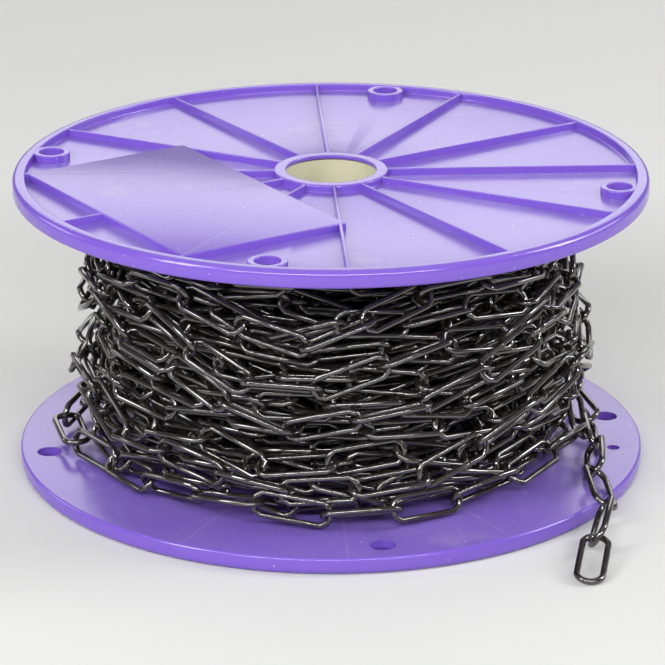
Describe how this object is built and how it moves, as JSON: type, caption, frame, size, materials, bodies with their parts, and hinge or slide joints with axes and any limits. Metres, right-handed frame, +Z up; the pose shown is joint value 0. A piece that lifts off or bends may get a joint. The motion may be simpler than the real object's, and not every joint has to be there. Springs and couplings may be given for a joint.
{
  "type": "plastic reel of black long-link steel chain",
  "caption": "Moulded plastic reel wound with black long-link steel chain, standing on one flange, with its last turn lying loose on the flange and its end over the rim.",
  "frame": {"origin": "centre of the bounding box's base, on the floor under the reel; the reel's axis stands 3.9 mm behind it, because the chain's free end reaches out in front", "axes": "+Z up along the reel's axis, +X to the right as the picture looks at it, -Y towards the viewer"},
  "size_m": [0.2, 0.2078, 0.0954],
  "materials": {
    "violet_plastic": "injection-moulded, satin to glossy violet",
    "cardboard": "cream spiral-wound board",
    "black_chain": "black-coated welded steel wire"
  },
  "bodies": {
    "root": {"flange_top": "violet_plastic", "flange_bottom": "violet_plastic", "core_tube": "cardboard", "chain_winding": "black_chain", "tail_link_01": "black_chain", "tail_link_02": "black_chain", "tail_link_03": "black_chain", "tail_link_04": "black_chain", "tail_link_05": "black_chain", "tail_link_06": "black_chain", "loop_link_01": "black_chain", "loop_link_02": "black_chain", "loop_link_03": "black_chain", "back_link_01": "black_chain", "back_link_02": "black_chain", "back_link_03": "black_chain", "back_link_04": "black_chain", "back_link_05": "black_chain", "back_link_06": "black_chain", "back_link_07": "black_chain", "back_link_08": "black_chain", "back_link_09": "black_chain", "back_link_10": "black_chain"}
  },
  "joints": []
}
